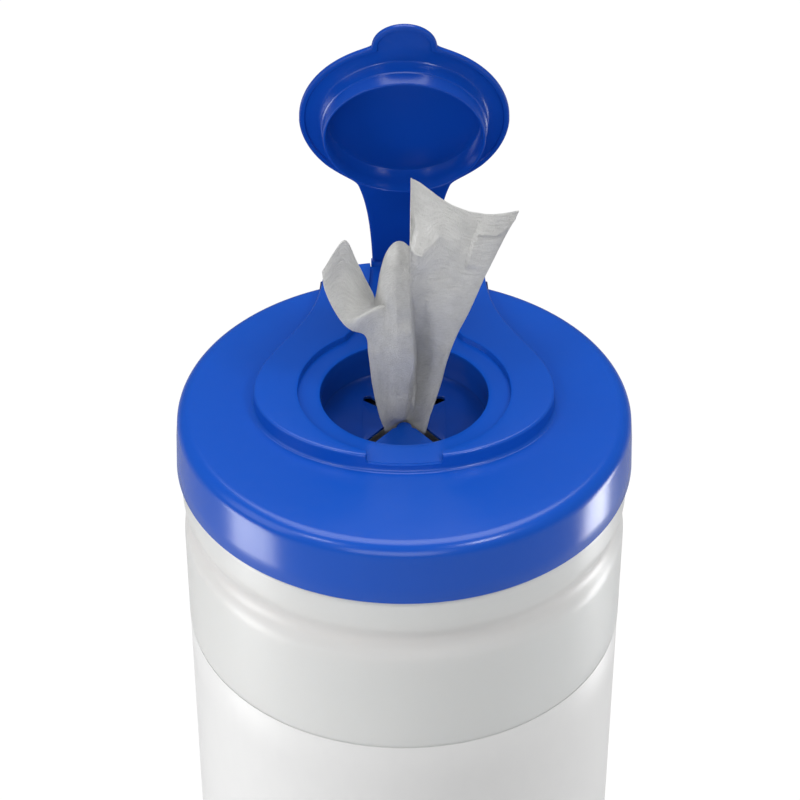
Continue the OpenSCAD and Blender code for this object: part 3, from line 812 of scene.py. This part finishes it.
def petalRows(forward):
    rings = []
    steps, half = petal["steps"], petal["halfThick"]
    for level, d in ((-half, 0.12), (-0.33, 0.0), (0.25, 0.0), (0.4, 0.06), (half, 0.2)):
        nose = petal["nose"] - petal["round"] + d
        us = [nose + (petal["root"] - nose) * (k / steps) ** 1.6 for k in range(steps + 1)]
        side = [(u, petalSide(u, d)) for u in us]
        ring = side[::-1] + [(u, -w) for u, w in side[1:]]
        ring.append(ring[0])
        rings.append([(u, w, level) for u, w in ring])
    middle = (9.0, 0.0)
    rings = [[(*middle, -half)] * len(rings[0])] + rings + [[(*middle, half)] * len(rings[0])]
    rows = []
    x, y = forward
    for ring in rings:
        row = []
        for u, w, level in ring:
            lift = max(0, petal["bend"] - u) * math.tan(math.radians(petal["rise"]))
            row.append((x * u - y * w, y * u + x * w, petal["middle"] + lift + level))
        rows.append(row)
    return rows


# The front petal is left bright, and the other three take the well's painted shade.
for name, forward in (("front", (0, -1)), ("rear", (0, 1)), ("left", (-1, 0)), ("right", (1, 0))):
    plastic = bluePlastic if name == "front" else lidPlastic
    made = layRows(name + "Petal", petalRows(forward), plastic, name + "_petal", 40)
    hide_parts("petal_" + name)

# The web between the strap and the lid's rear edge, a thin roll of the same plastic.
web = {"middle": (65.8, 264.0), "end": 10.15, "full": 10.0, "pinch": 0.85}
webLoop = [(65.25, 262.6), (65.25, 265.1), (65.4, 265.5), (65.85, 265.6), (66.25, 265.4), (66.4, 264.9)]
webLoop += [(66.1, 263.9), (65.65, 262.6), (65.25, 262.6)]


# The web's section at distance x to the side, drawn in towards its middle by a factor.
def webRing(x, f):
    y0, z0 = web["middle"]
    return [(x, y0 + (y - y0) * f, z0 + (z - z0) * f) for y, z in webLoop]


end, full, pinch = web["end"], web["full"], web["pinch"]
sections = [(-end, 0), (-end, pinch), (-full, 1), (-4.5, 1), (0, 1)]
sections += [(4.5, 1), (full, 1), (end, pinch), (end, 0)]
webRows = [webRing(x, f) for x, f in sections]
webPiece = layRows("hingeWeb", webRows, bluePlastic, "lid", 40)
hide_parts("hinge_film")
print("petals and hinge made")

# Room: white background, soft boxes to both sides, in front and above, in metres and watts.
def softBox(name, place, target, size, power):
    deselectAll()
    bpy.ops.object.light_add(type="AREA", location=place)
    lamp = bpy.context.object
    lamp.name = name
    lamp.rotation_euler = (Vector(target) - Vector(place)).to_track_quat("-Z", "Y").to_euler()
    lamp.data.shape = "RECTANGLE"
    lamp.data.size, lamp.data.size_y = size
    lamp.data.energy = power
    return lamp


aim = (0, 0, 0.24)
lamps = {
    "cardLeft": ((-0.36, -0.11, 0.05), (0.16, 0.24), 0.8),
    "cardRight": ((0.36, 0.07, 0.05), (0.11, 0.24), 0.7),
    "boxFront": ((0.62, -0.62, 1.25), (0.26, 0.2), 3.0),
    "boxFrontLeft": ((-0.66, -0.62, 1.2), (0.2, 0.18), 1.4),
    "boxCamera": ((-0.1, -1.3, 0.75), (1.0, 0.6), 4.7),
    "boxLeft": ((-1.2, -0.4, 0.9), (0.8, 0.8), 3),
    "boxAbove": ((0.0, 0.35, 1.5), (1.2, 0.9), 10),
}
for name, (place, size, power) in lamps.items():
    softBox(name, place, aim, size, power)

# The world is white to the camera, and dimmer to the object and in its reflections.
room = {"seen": 1.0, "ambient": 0.42, "mirrored": 0.13, "mirroredGrey": 0.8}
world = bpy.context.scene.world or bpy.data.worlds.new("room")
bpy.context.scene.world = world
world.use_nodes = True
tree = world.node_tree
tree.nodes.clear()
rays = tree.nodes.new("ShaderNodeLightPath")


def skyGlow(strength, grey=1):
    glow = tree.nodes.new("ShaderNodeBackground")
    glow.inputs[0].default_value = (grey, grey, grey, 1)
    glow.inputs[1].default_value = strength
    return glow.outputs[0]


def byRay(kind, otherwise, onRay):
    mix = tree.nodes.new("ShaderNodeMixShader")
    for source, target in zip((rays.outputs[kind], otherwise, onRay), mix.inputs):
        tree.links.new(source, target)
    return mix.outputs[0]


mirrored = skyGlow(room["mirrored"], room["mirroredGrey"])
lit = byRay("Is Glossy Ray", skyGlow(room["ambient"]), mirrored)
sky = byRay("Is Camera Ray", lit, skyGlow(room["seen"]))
tree.links.new(sky, tree.nodes.new("ShaderNodeOutputWorld").inputs[0])
bpy.context.scene.view_settings.view_transform = "Standard"

# The floor keeps the object's shadow and shows almost white to the camera.
deselectAll()
bpy.ops.mesh.primitive_plane_add(size=6, location=(0, 0, 0))
floor = bpy.context.object
floor.name = "floor"
ground = Finish("ground")
ground.shine(Base_Color=(0.42, 0.42, 0.42, 1), Roughness=0.7)
eye = ground.node("ShaderNodeLightPath")
glow = ground.node("ShaderNodeEmission", {}, {"Color": (1, 1, 1, 1), "Strength": 1.04})
matt = Wire(ground, ground.shader.outputs[0])
blend = ground.node("ShaderNodeMixShader", {}, {0: eye * 0.97, 1: matt, 2: glow})
ground.feed(ground.nodes["Material Output"].inputs[0], blend)
floor.data.materials.append(ground.material)
